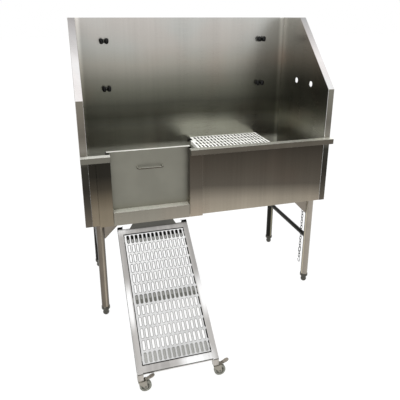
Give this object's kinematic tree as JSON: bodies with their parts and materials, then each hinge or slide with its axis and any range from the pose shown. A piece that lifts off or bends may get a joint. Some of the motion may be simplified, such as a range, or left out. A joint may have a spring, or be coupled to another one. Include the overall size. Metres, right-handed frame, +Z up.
{
  "type": "dog grooming tub",
  "caption": "Raised stainless grooming tub with high slanted walls, lift-out door, slotted grate, hook-on ramp with casters and hanging chain.",
  "frame": {"origin": "on the floor, under the middle of the whole object's box, ramp included", "axes": "+X to the right of someone facing the tub's front, +Y from the front to the back wall, +Z up"},
  "size_m": [1.27, 1.0984, 1.461],
  "materials": {
    "brushed_steel": "brushed, horizontal grain",
    "bright_steel": "bright, fine brushed",
    "door_steel": "matt, fine brushed",
    "tube_steel": "polished tube",
    "panel_steel": "light, satin",
    "black_rubber": "matt",
    "foot_metal": "satin",
    "screw_steel": "polished",
    "drain_brass": "as turned",
    "caster_steel": "zinc plated",
    "wheel_rubber": "grey moulded",
    "chain_steel": "zinc plated"
  },
  "bodies": {
    "tub": {"back_wall": "brushed_steel", "side_wall_left": "brushed_steel", "side_wall_right": "brushed_steel", "basin_floor": "brushed_steel", "apron_left": "brushed_steel", "apron_right": "brushed_steel", "rail_left": "bright_steel", "rail_right": "bright_steel", "door_post_left": "bright_steel", "door_post_right": "bright_steel", "door_sill": "bright_steel", "base_channel_front": "brushed_steel", "base_channel_rear": "brushed_steel", "grate_ledge_front": "brushed_steel", "grate_ledge_rear": "brushed_steel", "leg_front_left": "tube_steel", "leg_front_right": "tube_steel", "leg_rear_left": "tube_steel", "leg_rear_right": "tube_steel", "leg_gussets": "brushed_steel", "side_stretcher_left": "tube_steel", "side_stretcher_right": "tube_steel", "leg_inserts": "foot_metal", "peg_plates": "screw_steel", "peg_pads": "black_rubber", "peg_screws": "screw_steel", "drain_flange": "bright_steel", "drain_gasket": "black_rubber", "drain_nut": "drain_brass", "drain_tailpiece": "tube_steel", "ramp_hanger": "brushed_steel", "chain_eye": "chain_steel"},
    "door": {"door_panel": "door_steel", "door_handle": "bright_steel"},
    "grate": {"grate": "panel_steel"},
    "strainer": {"drain_basket": "panel_steel"},
    "foot_front_left": {"foot_front_left": "foot_metal"},
    "foot_front_right": {"foot_front_right": "foot_metal"},
    "foot_rear_left": {"foot_rear_left": "foot_metal"},
    "foot_rear_right": {"foot_rear_right": "foot_metal"},
    "ramp": {"ramp_frame": "bright_steel", "ramp_panel": "panel_steel", "ramp_supports": "bright_steel", "ramp_hook_plate": "bright_steel", "ramp_caps": "black_rubber", "caster_stems": "caster_steel"},
    "caster_left": {"caster_fork_left": "caster_steel", "caster_axle_left": "caster_steel"},
    "caster_right": {"caster_fork_right": "caster_steel", "caster_axle_right": "caster_steel"},
    "wheel_left": {"caster_wheel_left": "wheel_rubber"},
    "wheel_right": {"caster_wheel_right": "wheel_rubber"},
    "pedal_left": {"brake_pedal_left": "caster_steel"},
    "pedal_right": {"brake_pedal_right": "caster_steel"},
    "chain_upper": {"chain_upper": "chain_steel"},
    "chain_lower": {"chain_lower": "chain_steel"},
    "chain_hook": {"chain_hook": "chain_steel"}
  },
  "joints": [
    {"name": "door_lift", "type": "slide", "parent": "tub", "child": "door", "axis": [0, 0, 1], "range_m": [0, 0.26]},
    {"name": "grate_lift", "type": "slide", "parent": "tub", "child": "grate", "axis": [0, 0, 1], "range_m": [0, 0.28]},
    {"name": "strainer_lift", "type": "slide", "parent": "tub", "child": "strainer", "axis": [0, 0, 1], "range_m": [0, 0.08]},
    {"name": "foot_front_left_thread", "type": "slide", "parent": "tub", "child": "foot_front_left", "axis": [0, 0, -1], "range_m": [0, 0.025]},
    {"name": "foot_front_right_thread", "type": "slide", "parent": "tub", "child": "foot_front_right", "axis": [0, 0, -1], "range_m": [0, 0.025]},
    {"name": "foot_rear_left_thread", "type": "slide", "parent": "tub", "child": "foot_rear_left", "axis": [0, 0, -1], "range_m": [0, 0.025]},
    {"name": "foot_rear_right_thread", "type": "slide", "parent": "tub", "child": "foot_rear_right", "axis": [0, 0, -1], "range_m": [0, 0.025]},
    {"name": "ramp_tilt", "type": "hinge", "parent": "tub", "child": "ramp", "pos_m": [-0.314, -0.01726, 0.52], "axis": [-1, 0, 0], "range_deg": [0, 18]},
    {"name": "caster_swivel_left", "type": "hinge", "parent": "ramp", "child": "caster_left", "pos_m": [-0.4745, -0.53574, 0.056], "axis": [0, 0, 1], "continuous": true},
    {"name": "wheel_spin_left", "type": "hinge", "parent": "caster_left", "child": "wheel_left", "pos_m": [-0.4545, -0.53574, 0.025], "axis": [0, 1, 0], "continuous": true},
    {"name": "brake_press_left", "type": "hinge", "parent": "caster_left", "child": "pedal_left", "pos_m": [-0.4535, -0.53574, 0.0535], "axis": [0, 1, 0], "range_deg": [0, 38]},
    {"name": "caster_swivel_right", "type": "hinge", "parent": "ramp", "child": "caster_right", "pos_m": [-0.1535, -0.53574, 0.056], "axis": [0, 0, 1], "continuous": true},
    {"name": "wheel_spin_right", "type": "hinge", "parent": "caster_right", "child": "wheel_right", "pos_m": [-0.1335, -0.53574, 0.025], "axis": [0, 1, 0], "continuous": true},
    {"name": "brake_press_right", "type": "hinge", "parent": "caster_right", "child": "pedal_right", "pos_m": [-0.1325, -0.53574, 0.0535], "axis": [0, 1, 0], "range_deg": [0, 38]},
    {"name": "chain_swing", "type": "hinge", "parent": "tub", "child": "chain_upper", "pos_m": [0.597, 0.13074, 0.5052], "axis": [1, 0, 0], "range_deg": [-25, 25]},
    {"name": "chain_bend", "type": "hinge", "parent": "chain_upper", "child": "chain_lower", "pos_m": [0.597, 0.13074, 0.1497], "axis": [1, 0, 0], "range_deg": [-35, 35]},
    {"name": "chain_hook_swing", "type": "hinge", "parent": "chain_lower", "child": "chain_hook", "pos_m": [0.597, 0.13074, 0.0846], "axis": [1, 0, 0], "range_deg": [-16, 40]}
  ]
}
